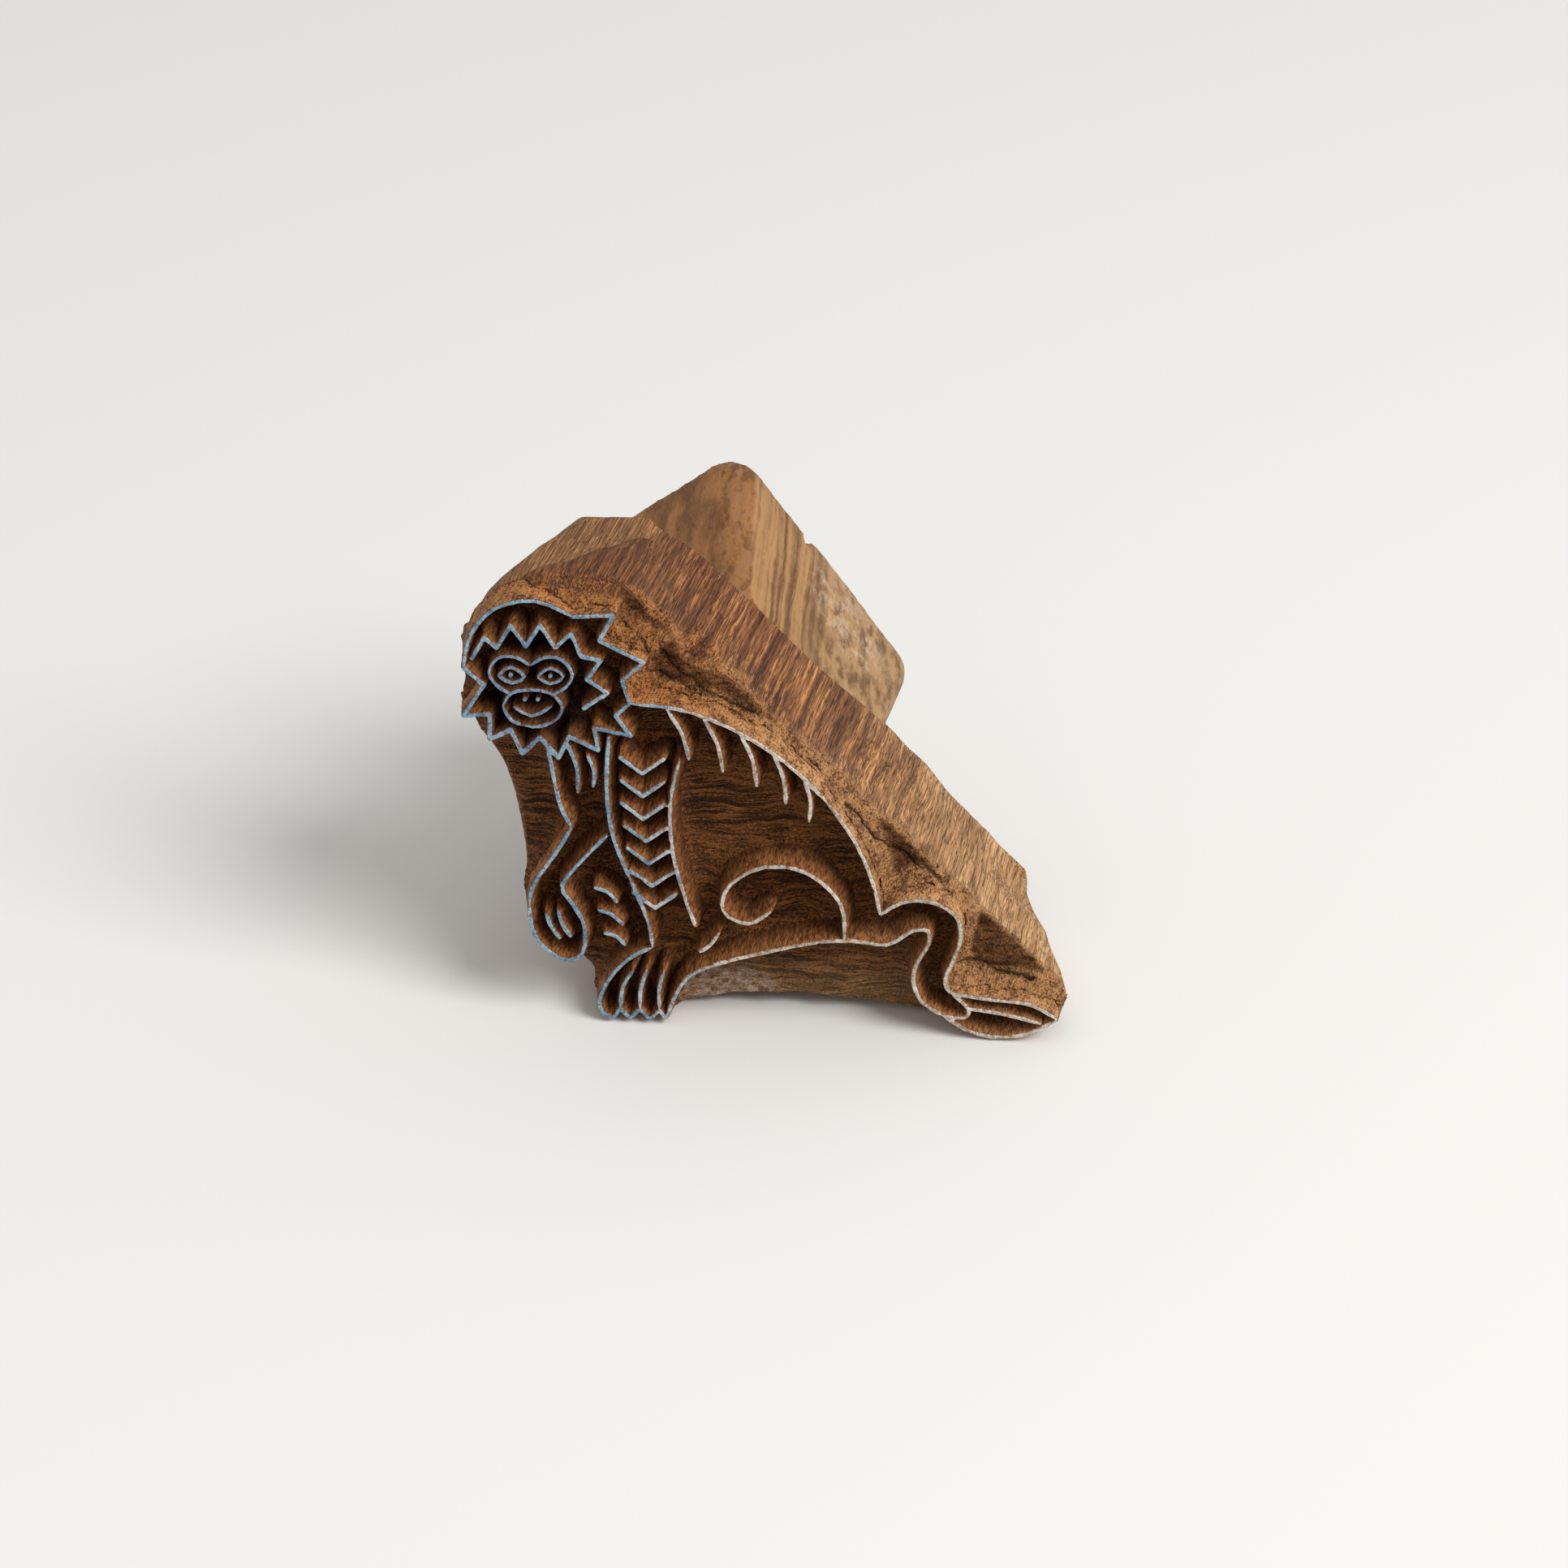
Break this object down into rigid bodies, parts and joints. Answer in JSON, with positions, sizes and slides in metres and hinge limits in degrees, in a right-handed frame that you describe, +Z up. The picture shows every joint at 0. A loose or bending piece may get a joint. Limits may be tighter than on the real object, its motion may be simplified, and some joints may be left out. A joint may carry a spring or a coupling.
{
  "type": "textile printing block",
  "caption": "Hand-carved wooden block for printing cloth, with a seated monkey in raised lines and a flared wooden grip pegged to its back.",
  "frame": {"origin": "centre of the footprint's bounding box, on the table that the block stands on", "axes": "+Z up from the table, -Y the way the printing lines face, +Y the way the grip points, +X towards the tail end"},
  "size_m": [0.085, 0.06, 0.0685],
  "materials": {
    "block_wood": "oily carved hardwood, dried blue and white colour on the line tops",
    "grip_wood": "plain sawn hardwood, worn pale at the edges",
    "peg_wood": "plain turned hardwood"
  },
  "bodies": {
    "root": {"printing_block": "block_wood", "grip": "grip_wood", "upper_peg": "peg_wood", "lower_peg": "peg_wood"}
  },
  "joints": []
}
